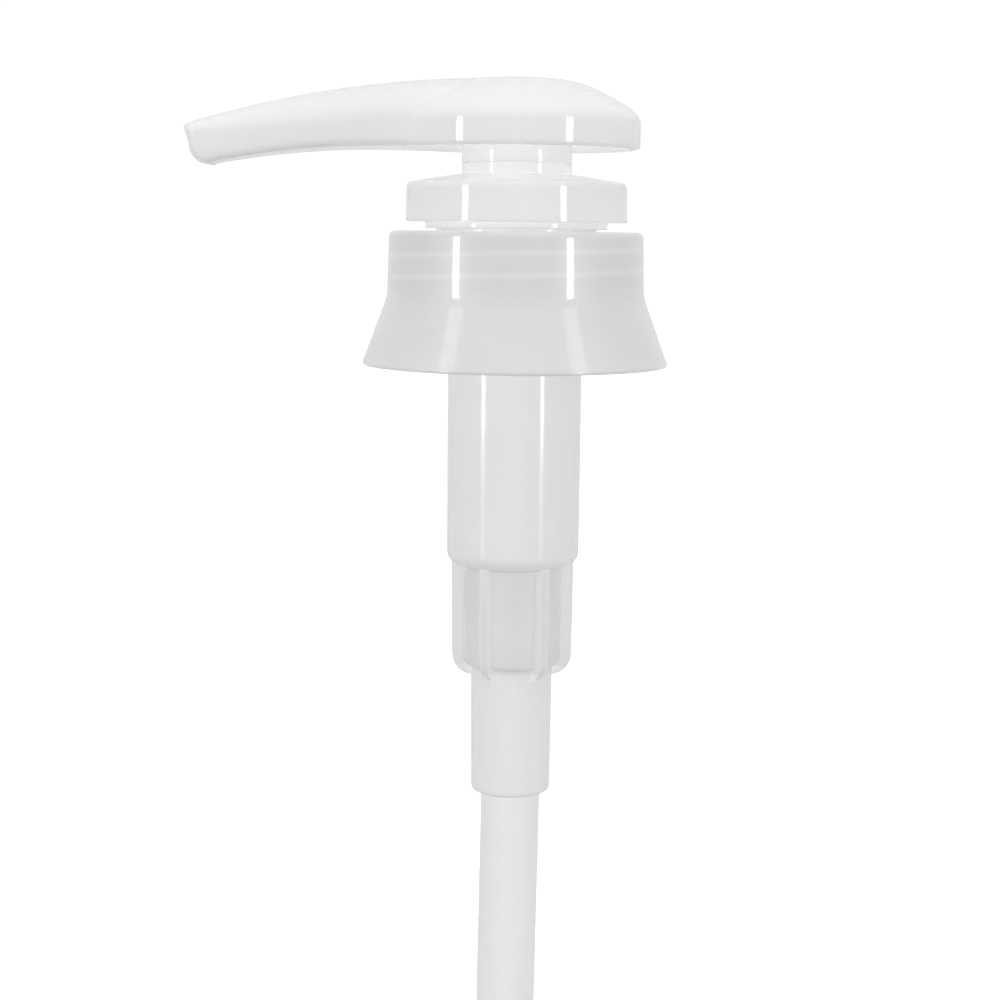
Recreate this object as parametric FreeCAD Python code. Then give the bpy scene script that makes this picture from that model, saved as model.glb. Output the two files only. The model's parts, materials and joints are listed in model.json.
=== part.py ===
import FreeCAD, Part
import math
import os

from FreeCAD import Vector

# Lock-down condiment pump for a jug with a 38-400 neck. Millimetres, +Z up.
# Z is the pump's axis. Height 0 is the underside of the gasket, where the jug's rim lies.
# The spout points to -X. The pump is drawn pressed fully down, at the angle where the lock lets go.

UP = Vector(0, 0, 1)
ORIGIN = Vector(0, 0, 0)

# --- jug neck and the stack that sits on its rim ---------------------------------------------
GASKET_T = 1.6
FLANGE_T = 1.7
FLANGE_R = 17.6
FLANGE_TOP = GASKET_T + FLANGE_T
THREAD_PITCH = 4.233            # six threads to the inch
THREAD_ROOT_R = 19.05
THREAD_CREST_R = 17.85
THREAD_TURNS = 1.42

# --- stem ----------------------------------------------------------------------------------------
STEM_R = 6.0
STEM_BORE_R = 4.4
STEM_FOOT = -57.3
STEM_TOP = 22.0
SHAFT_GAP = 0.06                # radial running gap of the stem in its guide and in the piston

# --- housing -----------------------------------------------------------------------------------
BARREL_R = 13.5
BORE_R = 12.2
BARREL_BOTTOM = -62.1
NECK_R = 16.0
NECK_TOP = 12.5
CORE_R = 10.0
CORE_BOTTOM = -82.7
CHAMBER_R = 8.6
CHAMBER_LEDGE = -77.0
SEAT_HOLE_R = 2.9
SEAT_Z = -84.5
TUBE_STOP = -86.0
SOCKET_BOTTOM = -109.5
RIB_COUNT = 6
RIB_T = 1.7
RIB_PHASE = 2.0                 # degrees from +X to the first rib

# --- dip tube ----------------------------------------------------------------------------------
TUBE_R = 6.1
TUBE_BORE_R = 4.7
TUBE_END = -260.0
TUBE_LEAN = 0.8                 # degrees the tube leans towards the spout below its socket
TUBE_BEND_R = 600.0

# --- pump head ---------------------------------------------------------------------------------
DOME_R = 24.5
RIM_Z = 21.4
APEX_Z = 35.25
DOME_WALL = 1.7
SKIRT_R = 11.0                  # the neck skirt, which comes down on the collar's hub
SKIRT_BOTTOM = 18.65
SLEEVE_R = 8.2                  # the lock sleeve, which goes down inside the hub
SLEEVE_BOTTOM = 5.5
TIP_X = -66.3
TIP_LEAN = 14.0                 # degrees the spout's end face leans from upright
TIP_LIP = 3.8                   # how far behind the tip its underside levels out
TIP_FOOT_R = 3.0
TIP_BOW_R = 13.0
PLENUM_R = 4.6

# --- lock collar -------------------------------------------------------------------------------
COLLAR_R = 22.0
COLLAR_BOTTOM = 7.0
HUB_TOP = 18.5
HUB_BORE_R = 9.4
GUIDE_TOP = 2.8
LUG_GAP = 0.3                   # between the head's lugs and the collar's, every way

# --- valves and spring -------------------------------------------------------------------------
INLET_BALL_R = 4.0
INLET_BALL_Z = -81.68
OUTLET_BALL_R = 3.5
OUTLET_BALL_Z = 16.6
CAGE_TOP = -72.4
SPRING_R = 6.6
WIRE_R = 0.6
SPRING_TURNS = 9.5


def outward(shape):
    """Return the shape with its solid side inside."""
    if shape.Volume < 0:
        shape.reverse()
    return shape


def lathe(points, sweep=360.0, start=0.0):
    """Turn a closed outline of (radius, height) corners about the pump's axis."""
    corners = [Vector(r, 0, z) for r, z in points]
    face = Part.Face(Part.makePolygon(corners + corners[:1]))
    face.rotate(ORIGIN, UP, start)
    return outward(face.revolve(ORIGIN, UP, sweep))


def tube(outer, inner, low, high):
    """Plain ring or tube about the pump's axis."""
    return lathe([(inner, low), (outer, low), (outer, high), (inner, high)])


def rod(radius, low, high):
    """Plain cylinder about the pump's axis."""
    return Part.makeCylinder(radius, high - low, Vector(0, 0, low), UP)


def is_ring(edge, radius, height):
    """True for a circular edge about the axis at this radius and height."""
    box = edge.BoundBox
    flat = abs(box.ZMin - height) < 0.02 and abs(box.ZMax - height) < 0.02
    return flat and abs(box.XMax - radius) < 0.02 and abs(box.YMax - radius) < 0.02


def round_rings(shape, rings):
    """Round circular edges, each given as (radius of the edge, height, rounding)."""
    for radius, height, rounding in rings:
        edges = [e for e in shape.Edges if is_ring(e, radius, height)]
        shape = shape.makeFillet(rounding, edges)
    return shape


def lug(inner, outer, low, high, middle, span):
    """A lock lug: a length of ring with a sloped lead-in on both faces."""
    lead = (outer - inner) / 2
    outline = [(inner, low), (outer, low + lead), (outer, high - lead), (inner, high)]
    return lathe(outline, span, middle - span / 2)


# --- pump head -----------------------------------------------------------------------------------

CROWN_R = 206.6                 # the spout's back is one long arc
CROWN_X = -4.3
FLOOR_R = 172.0                 # and its underside a second one, from where it leaves the level
FLOOR_X = -27.0
FACE_X = -19.2                  # where the spout's flanks leave the dome
FACE_HALF_WIDTH = 14.8
FLANK_TAPER = 0.197             # each flank closes in by this much per millimetre
FACE_FLANK_TOP = 26.9
FLANK_TOP_SLOPE = 0.065
UNDER_ROUND = 1.5


def crown_z(x):
    """Height of the spout's back."""
    return APEX_Z - 0.06 - CROWN_R + math.sqrt(CROWN_R ** 2 - (x - CROWN_X) ** 2)


def floor_z(x):
    """Height of the spout's underside."""
    past = min(0.0, x - FLOOR_X)
    return RIM_Z - FLOOR_R + math.sqrt(FLOOR_R ** 2 - past ** 2)


def half_width(x):
    """Half the spout's width."""
    return FACE_HALF_WIDTH + FLANK_TAPER * (x - FACE_X)


def flank_top_z(x):
    """Height where the upright flank ends and the crown starts."""
    return FACE_FLANK_TOP + FLANK_TOP_SLOPE * (x - FACE_X)


def spout_section(x):
    """Flat floor, rounded lower corners, upright flanks and an elliptical crown."""
    low = floor_z(x)
    high = flank_top_z(x)
    w = half_width(x)
    c = UNDER_ROUND
    k = c * (1 - math.sqrt(0.5))
    middle = Vector(x, 0, high)
    crown = Part.Ellipse(Vector(x, w, high), Vector(x, 0, crown_z(x)), middle)
    edges = [
        Part.LineSegment(Vector(x, c - w, low), Vector(x, w - c, low)),
        Part.Arc(Vector(x, w - c, low), Vector(x, w - k, low + k), Vector(x, w, low + c)),
        Part.LineSegment(Vector(x, w, low + c), Vector(x, w, high)),
        Part.ArcOfEllipse(crown, 0, math.pi),
        Part.LineSegment(Vector(x, -w, high), Vector(x, -w, low + c)),
        Part.Arc(Vector(x, -w, low + c), Vector(x, k - w, low + k), Vector(x, c - w, low)),
    ]
    return Part.Wire([e.toShape() for e in edges])


def channel_section(x, wall=0.0):
    """Ellipse of the flow channel, wider and taller towards the root; wall gives its duct."""
    along = (x - TIP_X) / -TIP_X
    wide = 3.4 + 2.2 * along + wall
    tall = 1.95 + 1.4 * along + wall
    middle = Vector(x, 0, 28.3 - 0.00140 * x * x)
    ring = Part.Ellipse(middle + Vector(0, wide, 0), middle + Vector(0, 0, tall), middle)
    return Part.Wire([ring.toShape()])


def tip_mask():
    """Everything on the spout's side of its leaning end face, whose foot is a round corner."""
    slope = math.tan(math.radians(TIP_LEAN))
    low = floor_z(TIP_X + TIP_LIP)
    high = 40.0
    reach = 30.0
    crown = crown_z(TIP_X)
    foot = Vector(TIP_X + slope * (crown - low), -reach, low)
    head = Vector(TIP_X - slope * (high - crown), -reach, high)
    outline = [foot, Vector(5, -reach, low), Vector(5, -reach, high), head, foot]
    side = outward(Part.Face(Part.makePolygon(outline)).extrude(Vector(0, 2 * reach, 0)))
    corner = [e for e in side.Edges if e.BoundBox.XLength < 0.01 and e.BoundBox.ZLength < 0.01
              and abs(e.BoundBox.XMin - foot.x) < 0.01]
    side = side.makeFillet(TIP_FOOT_R, corner)
    # in plan the end is bowed, so that the flanks turn into it on a large round
    bow = Part.makeCylinder(TIP_BOW_R, high, Vector(TIP_X + TIP_BOW_R, 0, 0), UP)
    behind = Part.makeBox(80, 2 * reach, high, Vector(TIP_X + 9.0, -reach, 0))
    return side.common(bow.fuse(behind))


def dome_outline(inset):
    """Half section of the dome, drawn in by inset; the crown is one smooth curve."""
    scale = 1 - inset / DOME_R
    drop = inset
    crown = [(0, APEX_Z), (6.3, 35.1), (11.8, 34.45), (16.5, 32.7), (21.1, 30.3), (23.8, 28.1)]
    points = [Vector(r * scale, 0, z - drop) for r, z in crown]
    points.append(Vector(DOME_R * scale, 0, 26.5 - drop))
    curve = Part.BSplineCurve()
    curve.interpolate(Points=points, InitialTangent=Vector(1, 0, 0), FinalTangent=Vector(0, 0, -1))
    return curve, points


def dome(inset, low):
    """Turned dome down to the height low, drawn in by inset all over."""
    curve, points = dome_outline(inset)
    side = points[-1]
    foot = Vector(side.x, 0, low)
    middle = Vector(0, 0, low)
    edges = [
        curve.toShape(),
        Part.makeLine(side, foot),
        Part.makeLine(foot, middle),
        Part.makeLine(middle, points[0]),
    ]
    return outward(Part.Face(Part.Wire(edges)).revolve(ORIGIN, UP, 360))


def make_pump_head():
    """Dome, spout, neck skirt, lock sleeve and flow channel in one moulding."""
    stations = [-2.0, -11.0, -20.0, -29.0, -38.0, -47.0, -56.0, -64.0, -70.0]
    spout = outward(Part.makeLoft([spout_section(x) for x in stations], True, False))
    spout = spout.common(tip_mask())
    shell = round_rings(dome(0, RIM_Z), [(DOME_R, RIM_Z, 0.8)])
    head = shell.fuse(spout)
    duct = outward(Part.makeLoft([channel_section(x, 1.6) for x in (0.0, -14.0, -28.0)], True, False))
    recess = dome(DOME_WALL, RIM_Z - 2).cut(duct)
    roof = crown_z(0) - DOME_WALL
    core = rod(SLEEVE_R, RIM_Z, roof)
    skirt = tube(SKIRT_R, SKIRT_R - 1.3, SKIRT_BOTTOM, roof - 0.5)
    skirt = round_rings(skirt, [(SKIRT_R, SKIRT_BOTTOM, 0.25)])
    head = head.cut(recess).fuse([core, skirt])
    sleeve = round_rings(rod(SLEEVE_R, SLEEVE_BOTTOM, RIM_Z + 1), [(SLEEVE_R, SLEEVE_BOTTOM, 0.5)])
    gap_ring = tube(SKIRT_R - 1.3, SLEEVE_R, SKIRT_BOTTOM - 1, RIM_Z + 2)
    head = head.cut(gap_ring).fuse(sleeve)
    lugs = [lug(SLEEVE_R - 0.2, HUB_BORE_R - LUG_GAP, 6.2, 8.8, a, 56) for a in (0, 180)]
    head = head.fuse(lugs)
    bore = rod(STEM_R, SLEEVE_BOTTOM - 1, STEM_TOP)
    plenum = rod(PLENUM_R, STEM_TOP - 1, 29.0)
    channel = outward(Part.makeLoft(
        [channel_section(x) for x in (0.0, -12.0, -24.0, -36.0, -48.0, -60.0, -70.0)], True, False))
    head = head.cut([bore, plenum, channel])
    ball_stop = Part.makeBox(1.6, 2 * PLENUM_R + 1, 1.4, Vector(-0.8, -PLENUM_R - 0.5, STEM_TOP + 0.6))
    return head.fuse(ball_stop).removeSplitter()


# --- parts on the pump's axis ----------------------------------------------------------------------


def make_stem():
    """Hollow rod with the outlet ball's seat near its top and a shoulder over the piston."""
    web_low = 12.4
    web_high = 14.0
    seat_hole_r = 2.4
    shoulder_low = -46.4
    shoulder_high = -45.2
    shoulder_r = 7.6
    chamfer = 0.4
    lead = 0.5
    outer = [(0, STEM_FOOT), (STEM_R, STEM_FOOT), (STEM_R, shoulder_low), (shoulder_r, shoulder_low),
             (shoulder_r, shoulder_high - chamfer), (shoulder_r - chamfer, shoulder_high),
             (STEM_R, shoulder_high), (STEM_R, STEM_TOP - lead), (STEM_R - lead, STEM_TOP), (0, STEM_TOP)]
    lower = rod(STEM_BORE_R, STEM_FOOT - 1, web_low)
    seat = rod(seat_hole_r, web_low - 1, web_high + 1)
    pocket = rod(STEM_BORE_R, web_high, STEM_TOP + 1)
    return lathe(outer).cut([lower, seat, pocket])


def make_ball(radius, height):
    """Valve ball on the axis."""
    return Part.makeSphere(radius, Vector(0, 0, height))


def make_lock_collar():
    """Snap-on collar: outer wall, hub that takes the head, stem guide and snap skirt."""
    outline = [
        (COLLAR_R + 0.1, COLLAR_BOTTOM), (COLLAR_R, 14.75), (12.6, 16.3), (SKIRT_R, 16.3),
        (SKIRT_R, HUB_TOP), (HUB_BORE_R, HUB_TOP), (HUB_BORE_R, GUIDE_TOP),
        (STEM_R + SHAFT_GAP, GUIDE_TOP), (STEM_R + SHAFT_GAP, 1.4), (8.9, 1.4), (8.9, -1.2),
        (10.7, -1.2), (10.7, 13.0), (NECK_R + 0.05, 13.0), (NECK_R + 0.05, 11.6),
        (NECK_R + 0.4, 11.3), (NECK_R + 0.4, 10.3), (NECK_R + 0.05, 10.0), (NECK_R + 0.05, 5.65),
        (18.25, 5.65), (18.25, COLLAR_BOTTOM), (17.8, COLLAR_BOTTOM), (17.8, 12.9), (20.4, 12.7),
        (20.5, COLLAR_BOTTOM),
    ]
    collar = lathe(outline)
    collar = round_rings(collar, [(COLLAR_R, 14.75, 1.3), (SKIRT_R, 16.3, 0.5), (SKIRT_R, HUB_TOP, 0.3),
                                  (COLLAR_R + 0.1, COLLAR_BOTTOM, 0.25), (18.25, 5.65, 0.3)])
    inner = SLEEVE_R + LUG_GAP
    lead = (HUB_BORE_R - inner) / 2
    section = [(HUB_BORE_R + 0.2, 9.2), (HUB_BORE_R, 9.2), (inner, 9.2 + lead), (inner, 11.8 - lead),
               (HUB_BORE_R, 11.8), (HUB_BORE_R + 0.2, 11.8)]
    lugs = [lathe(section, 56, a - 28) for a in (90, 270)]
    return collar.fuse(lugs).removeSplitter()


def make_stem_seal():
    """Wiper ring with one thin lip on the stem."""
    touch = STEM_R + 0.04
    return lathe([(8.85, -0.9), (8.85, 1.35), (6.9, 1.35), (6.9, 0.5), (touch + 0.25, -0.4),
                  (touch, -0.6), (touch, -0.9)])


def make_gasket():
    """Flat foam ring on the jug's rim."""
    return tube(FLANGE_R, 14.6, 0, GASKET_T)


def make_housing():
    """Barrel with its flange and snap neck, valve chamber with six ribs, and tube socket."""
    outline = [
        (BORE_R, FLANGE_TOP), (BORE_R, -57.9), (CHAMBER_R, -60.6), (CHAMBER_R, CHAMBER_LEDGE),
        (7.2, CHAMBER_LEDGE), (7.2, -79.6), (SEAT_HOLE_R, SEAT_Z), (SEAT_HOLE_R, TUBE_STOP),
        (TUBE_R + 0.02, TUBE_STOP), (TUBE_R + 0.02, -108.6), (TUBE_R + 0.6, SOCKET_BOTTOM),
        (8.15, SOCKET_BOTTOM), (8.4, CORE_BOTTOM), (CORE_R, CORE_BOTTOM), (CORE_R, BARREL_BOTTOM),
        (BARREL_R, BARREL_BOTTOM), (BARREL_R, GASKET_T), (FLANGE_R, GASKET_T),
        (FLANGE_R, FLANGE_TOP), (NECK_R, FLANGE_TOP), (NECK_R, 10.2), (NECK_R + 0.3, 10.5),
        (NECK_R + 0.3, 11.0), (NECK_R, 11.35), (NECK_R - 0.2, NECK_TOP), (14.4, NECK_TOP),
        (14.4, FLANGE_TOP),
    ]
    housing = lathe(outline)
    housing = round_rings(housing, [(BARREL_R, BARREL_BOTTOM, 2.8), (CORE_R, CORE_BOTTOM, 1.2),
                                    (8.15, SOCKET_BOTTOM, 1.0)])
    ribs = [make_rib(RIB_PHASE + 360.0 * i / RIB_COUNT) for i in range(RIB_COUNT)]
    vent = Part.makeCylinder(0.8, 5, Vector(0, BORE_R - 1, -4), Vector(0, 1, 0))
    return housing.fuse(ribs).cut(vent).removeSplitter()


def make_rib(angle):
    """One fin of the valve chamber; its foot curves in onto the tube socket."""
    half = RIB_T / 2
    foot_r = 4.2
    top = -60.8
    shoulder = -80.7
    side_r = 11.95
    foot_z = shoulder - foot_r
    bow = foot_r * math.sqrt(0.5)
    middle = Vector(side_r - foot_r + bow, -half, shoulder - bow)
    edges = [
        Part.makeLine(Vector(9.2, -half, top), Vector(12.2, -half, top)),
        Part.makeLine(Vector(12.2, -half, top), Vector(side_r, -half, shoulder)),
        Part.Arc(Vector(side_r, -half, shoulder), middle, Vector(side_r - foot_r, -half, foot_z)).toShape(),
        Part.makeLine(Vector(side_r - foot_r, -half, foot_z), Vector(7.5, -half, foot_z)),
        Part.makeLine(Vector(7.5, -half, foot_z), Vector(7.5, -half, CORE_BOTTOM + 1)),
        Part.makeLine(Vector(7.5, -half, CORE_BOTTOM + 1), Vector(9.2, -half, CORE_BOTTOM + 1)),
        Part.makeLine(Vector(9.2, -half, CORE_BOTTOM + 1), Vector(9.2, -half, top)),
    ]
    rib = outward(Part.Face(Part.Wire(edges)).extrude(Vector(0, RIB_T, 0)))
    crest = [e for e in rib.Edges if e.BoundBox.XMin > side_r - foot_r - 0.05
             and e.BoundBox.YLength < 0.01 and e.BoundBox.ZLength > 1]
    rib = rib.makeFillet(0.6, crest)
    rib.rotate(ORIGIN, UP, angle)
    return rib


def make_piston():
    """Soft piston: a hub that turns on the stem, and a wall with a lip at each end."""
    hub = STEM_R + SHAFT_GAP
    lip = BORE_R - 0.07
    low = -57.2
    high = -46.5
    return lathe([
        (hub, low), (7.7, low), (7.7, -53.2), (10.6, -53.2), (11.3, low), (lip, low),
        (lip, low + 1.2), (lip - 0.45, low + 2.2), (lip - 0.45, high - 2.2), (lip, high - 1.2),
        (lip, high), (11.3, high), (10.6, -50.4), (7.7, -50.4), (7.7, high), (hub, high),
    ])


def make_piston_seat():
    """Plug in the stem's foot, with the flange that holds the piston and a nose for the spring."""
    plug = STEM_BORE_R - 0.01
    hole = 2.6
    top = -50.0
    nose = -61.8
    flange = STEM_FOOT - 1.5
    return lathe([
        (hole, nose), (4.9, nose), (5.5, nose + 0.9), (5.5, flange), (7.9, flange),
        (7.9, STEM_FOOT), (plug, STEM_FOOT), (plug, top - 0.6), (plug - 0.5, top), (hole, top),
    ])


def make_spring():
    """Return spring, closed down to the length it has when the pump is pressed."""
    low = CAGE_TOP + WIRE_R + 0.02
    high = STEM_FOOT - 1.5 - WIRE_R - 0.02
    helix = Part.makeHelix((high - low) / SPRING_TURNS, high - low, SPRING_R)
    wire = Part.Wire(Part.Circle(Vector(SPRING_R, 0, 0), Vector(0, 1, 0), WIRE_R).toShape())
    coil = outward(Part.Wire(helix).makePipeShell([wire], True, True))
    coil.translate(Vector(0, 0, low))
    return coil


def make_ball_cage():
    """Foot ring, four posts, and a top ring with a cross that stops the ball."""
    outer = CHAMBER_R - 0.1
    foot = tube(outer, 7.3, CHAMBER_LEDGE, CHAMBER_LEDGE + 1.4)
    top = tube(outer, 5.6, CAGE_TOP - 1.2, CAGE_TOP)
    post = [(7.3, CHAMBER_LEDGE + 1.0), (outer, CHAMBER_LEDGE + 1.0), (outer, CAGE_TOP - 0.6),
            (7.3, CAGE_TOP - 0.6)]
    posts = [lathe(post, 32, a - 16) for a in (45, 135, 225, 315)]
    bars = [Part.makeBox(13, 1.6, 1.2, Vector(-6.5, -0.8, CAGE_TOP - 1.2)),
            Part.makeBox(1.6, 13, 1.2, Vector(-0.8, -6.5, CAGE_TOP - 1.2))]
    return foot.fuse([top] + posts + bars).removeSplitter()


def leaning_rod(radius, high, run):
    """Solid rod down the axis, round one slight bend below the socket, then straight for run."""
    bend_z = SOCKET_BOTTOM - 0.5
    lean = math.radians(TUBE_LEAN)
    disc = Part.Face(Part.Wire(Part.Circle(Vector(0, 0, bend_z), UP, radius).toShape()))
    bend = outward(disc.revolve(Vector(-TUBE_BEND_R, 0, bend_z), Vector(0, 1, 0), TUBE_LEAN))
    turn_x = TUBE_BEND_R * (math.cos(lean) - 1)
    turn_z = bend_z - TUBE_BEND_R * math.sin(lean)
    way = Vector(-math.sin(lean), 0, -math.cos(lean))
    tail = Part.makeCylinder(radius, run, Vector(turn_x, 0, turn_z), way)
    return rod(radius, bend_z, high).fuse([bend, tail])


def make_dip_tube():
    """Tube: straight in its socket, one slight bend, then straight to a slanted cut."""
    top = TUBE_STOP - 0.05
    run = SOCKET_BOTTOM - TUBE_END
    whole = leaning_rod(TUBE_R, top, run).cut(leaning_rod(TUBE_BORE_R, top + 1, run + 1))
    cutter = Part.makeBox(60, 60, 40, Vector(-30, -30, -40))
    cutter.rotate(ORIGIN, Vector(0, 1, 0), 30)
    cutter.translate(Vector(0, 0, TUBE_END + 3.5))
    return whole.cut(cutter)


def make_closure():
    """Screw cap: inner threaded skirt for the jug's neck, and a flared outer skirt."""
    wall = 1.5
    plate_low = 3.5
    plate_high = 5.2
    waist_z = -7.7
    waist_r = 25.78
    hem_z = -21.5
    hem_r = 30.9
    outline = [
        (16.3, plate_low), (16.3, plate_high), (25.4, plate_high), (waist_r, waist_z),
        (hem_r, hem_z), (hem_r - wall * 1.05, hem_z), (waist_r - wall, waist_z - 0.2),
        (25.35 - wall, plate_low), (20.4, plate_low), (20.4, -10.5), (THREAD_ROOT_R, -10.5),
        (THREAD_ROOT_R, 0.6), (18.2, 1.2), (18.2, plate_low),
    ]
    cap = round_rings(lathe(outline), [(25.4, plate_high, 1.2), (waist_r, waist_z, 9.0),
                                       (waist_r - wall, waist_z - 0.2, 7.5), (hem_r, hem_z, 0.5)])
    return cap.fuse(make_cap_thread()).removeSplitter()


def make_cap_thread():
    """Right-hand thread on the inner skirt, run out at both ends by a smaller section."""
    height = THREAD_PITCH * THREAD_TURNS
    low = 0.95 - height
    root = THREAD_ROOT_R + 0.15
    helix = Part.makeHelix(THREAD_PITCH, height, THREAD_ROOT_R)
    corners = [Vector(root, 0, -1.1), Vector(root, 0, 1.1), Vector(THREAD_CREST_R, 0, 0.45),
               Vector(THREAD_CREST_R, 0, -0.45), Vector(root, 0, -1.1)]
    ridge = outward(Part.Wire(helix).makePipeShell([Part.makePolygon(corners)], True, True))
    ridge.translate(Vector(0, 0, low))
    ridge.rotate(ORIGIN, UP, -90 - 360 * (THREAD_TURNS % 1))
    return ridge


def save(node, shape):
    """Check one piece and write its STEP file."""
    if not shape.isValid() or len(shape.Solids) != 1:
        raise RuntimeError(f"{node}: {len(shape.Solids)} solids, valid {shape.isValid()}")
    shape = shape.Solids[0]
    box = shape.optimalBoundingBox()
    shape.exportStep(f"parts/{node}.step")
    print(f"{node:14s} {shape.Volume:9.1f} mm3  x {box.XMin:7.2f} {box.XMax:6.2f}"
          f"  y {box.YMin:7.2f} {box.YMax:6.2f}  z {box.ZMin:8.2f} {box.ZMax:6.2f}")


os.makedirs("parts", exist_ok=True)
save("pump_head", make_pump_head())
save("stem", make_stem())
save("outlet_ball", make_ball(OUTLET_BALL_R, OUTLET_BALL_Z))
save("lock_collar", make_lock_collar())
save("stem_seal", make_stem_seal())
save("closure", make_closure())
save("gasket", make_gasket())
save("housing", make_housing())
save("piston", make_piston())
save("piston_seat", make_piston_seat())
save("spring", make_spring())
save("ball_cage", make_ball_cage())
save("inlet_ball", make_ball(INLET_BALL_R, INLET_BALL_Z))
save("dip_tube", make_dip_tube())
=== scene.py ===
# %% [markdown]
# # A lock-down condiment pump, finished in Blender
# The measured model of the pump comes in as a fixed frame: every piece is already in its place, in
# metres. This lesson rebuilds the pieces that show with clean, rounded meshes, gives every piece a
# moulded finish, and lights it on a white sweep. The measured model is never moved.

# %% Load the measured model
import json
import math

import bmesh
import bpy
import numpy as np
from mathutils import Matrix, Vector
from mathutils.kdtree import KDTree


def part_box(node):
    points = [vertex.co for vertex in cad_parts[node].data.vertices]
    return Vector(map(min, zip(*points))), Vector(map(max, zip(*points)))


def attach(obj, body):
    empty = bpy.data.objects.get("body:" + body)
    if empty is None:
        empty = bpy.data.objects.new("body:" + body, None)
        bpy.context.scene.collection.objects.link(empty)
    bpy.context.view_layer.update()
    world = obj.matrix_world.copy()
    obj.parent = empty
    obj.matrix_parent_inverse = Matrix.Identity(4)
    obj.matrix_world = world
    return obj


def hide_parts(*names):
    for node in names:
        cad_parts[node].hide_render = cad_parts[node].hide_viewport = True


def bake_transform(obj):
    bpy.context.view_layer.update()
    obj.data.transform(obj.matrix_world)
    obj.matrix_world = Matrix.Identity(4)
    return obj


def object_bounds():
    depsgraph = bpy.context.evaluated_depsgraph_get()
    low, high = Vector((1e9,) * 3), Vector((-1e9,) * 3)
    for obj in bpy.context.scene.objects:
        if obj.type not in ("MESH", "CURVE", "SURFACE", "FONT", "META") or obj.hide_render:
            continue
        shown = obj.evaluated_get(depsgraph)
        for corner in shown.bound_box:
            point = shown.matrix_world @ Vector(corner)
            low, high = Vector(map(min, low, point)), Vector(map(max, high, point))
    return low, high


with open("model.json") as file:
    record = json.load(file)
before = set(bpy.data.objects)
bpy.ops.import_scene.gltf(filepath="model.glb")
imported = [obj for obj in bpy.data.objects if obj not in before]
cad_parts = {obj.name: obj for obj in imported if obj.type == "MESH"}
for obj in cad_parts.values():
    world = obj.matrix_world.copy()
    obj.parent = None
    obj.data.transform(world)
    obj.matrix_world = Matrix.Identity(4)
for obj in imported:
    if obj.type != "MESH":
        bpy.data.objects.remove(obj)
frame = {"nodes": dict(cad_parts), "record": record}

MM = 0.001
UP = Vector((0, 0, 1))
cad_box = [list(corner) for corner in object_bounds()]
print("pieces in the measured model:", len(frame["nodes"]))
print("its box in mm:", [[round(x / MM, 1) for x in corner] for corner in cad_box])

# %% [markdown]
# ## The camera
# The pump is looked at from its front, with the spout to the left. A lens of about 71 mm from
# 0.4 m away gives the gentle perspective of a product shot, and the camera tips down a little, so
# that the cap's hem is seen from above while the head is seen from just below. It is built from
# three turns, in the order a photographer makes them: level it, tip it down, then roll it.

# %% Camera
PITCH = math.radians(7.85)
ROLL = math.radians(0.59)
camera_data = bpy.data.cameras.new("camera")
camera_data.lens = 71.1
camera_data.sensor_width = 36.0
camera_data.clip_start = 0.01
camera = bpy.data.objects.new("camera", camera_data)
bpy.context.scene.collection.objects.link(camera)
place = Matrix.Translation(Vector((-2.7, -398.7, 5.9)) * MM)
level = Matrix.Rotation(math.radians(90) - PITCH, 4, "X")
camera.matrix_world = place @ level @ Matrix.Rotation(ROLL, 4, "Z")
bpy.context.scene.camera = camera
bpy.context.scene.view_settings.view_transform = "Standard"
print("camera is", round(camera.location.length, 3), "m from the pump's origin")

# %% [markdown]
# ## Node trees written as sums
# Shader and geometry trees are the same thing to Python: boxes with sockets and wires between them.
# Two small classes keep the rest of this lesson short. `Wire` stands for an output socket and knows
# `+ - * /`, also with a plain number on its left, so that `1 - speckle` adds a Math box by itself.
# `Boxes.add` makes any other box: its type, then its settings, then what goes into its sockets.

# %% Wires and boxes
class Wire:
    """An output socket that can be used in sums."""

    def __init__(self, boxes, socket):
        self.boxes = boxes
        self.socket = socket

    def out(self, name):
        """Another output of the same box."""
        return Wire(self.boxes, self.socket.node.outputs[name])

    def maths(self, operation, *values):
        return self.boxes.add("ShaderNodeMath", {"operation": operation}, dict(enumerate(values)))

    def __add__(self, other):
        return self.maths("ADD", self, other)

    def __radd__(self, other):
        return self.maths("ADD", other, self)

    def __sub__(self, other):
        return self.maths("SUBTRACT", self, other)

    def __rsub__(self, other):
        return self.maths("SUBTRACT", other, self)

    def __mul__(self, other):
        return self.maths("MULTIPLY", self, other)

    def __rmul__(self, other):
        return self.maths("MULTIPLY", other, self)

    def __truediv__(self, other):
        return self.maths("DIVIDE", self, other)

    def __rtruediv__(self, other):
        return self.maths("DIVIDE", other, self)


class Boxes:
    """A node tree, and the one way to add a box to it."""

    def __init__(self, tree):
        self.tree = tree

    def add(self, kind, settings=None, values=None, output=0):
        box = self.tree.nodes.new(kind)
        for name, value in (settings or {}).items():
            setattr(box, name, value)
        for name, value in (values or {}).items():
            if isinstance(value, Wire):
                self.tree.links.new(value.socket, box.inputs[name])
            else:
                box.inputs[name].default_value = value
        return Wire(self, box.outputs[output])


# %% [markdown]
# ## Finishes
# The pump is injection moulded, so its surfaces differ in gloss far more than in colour. The mould
# leaves three marks that matter at this size: a faint waviness where the wall shrank as it cooled,
# a fine skin texture, and small changes of gloss from handling. `Finish` builds a Principled shader
# with those three. Each is worked out from Object coordinates, so that it stays on the piece as the
# piece moves. What is the same all over is set on the shader's own socket.

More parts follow.
